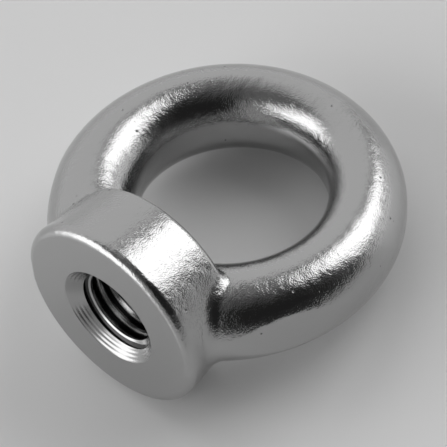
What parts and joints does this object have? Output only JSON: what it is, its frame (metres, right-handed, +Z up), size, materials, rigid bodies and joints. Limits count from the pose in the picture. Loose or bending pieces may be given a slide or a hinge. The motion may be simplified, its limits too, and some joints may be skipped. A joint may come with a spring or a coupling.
{
  "type": "lifting eye nut",
  "caption": "Forged steel lifting eye nut: a closed ring on a drafted round collar, with a threaded hole running from the flat base face into the eye.",
  "frame": {"origin": "on the floor, under the middle of the nut as it lies on its side on the collar's shoulder and the ring's crown", "axes": "+Z up; +Y towards the ring's crown, with the thread axis in the YZ plane; X across the ring, which is the same on both sides"},
  "size_m": [0.0618, 0.0638, 0.0375],
  "materials": {
    "eye_nut": "bright zinc-plated forged steel, satin with a fine grain"
  },
  "bodies": {
    "root": {"eye_nut": "eye_nut"}
  },
  "joints": []
}
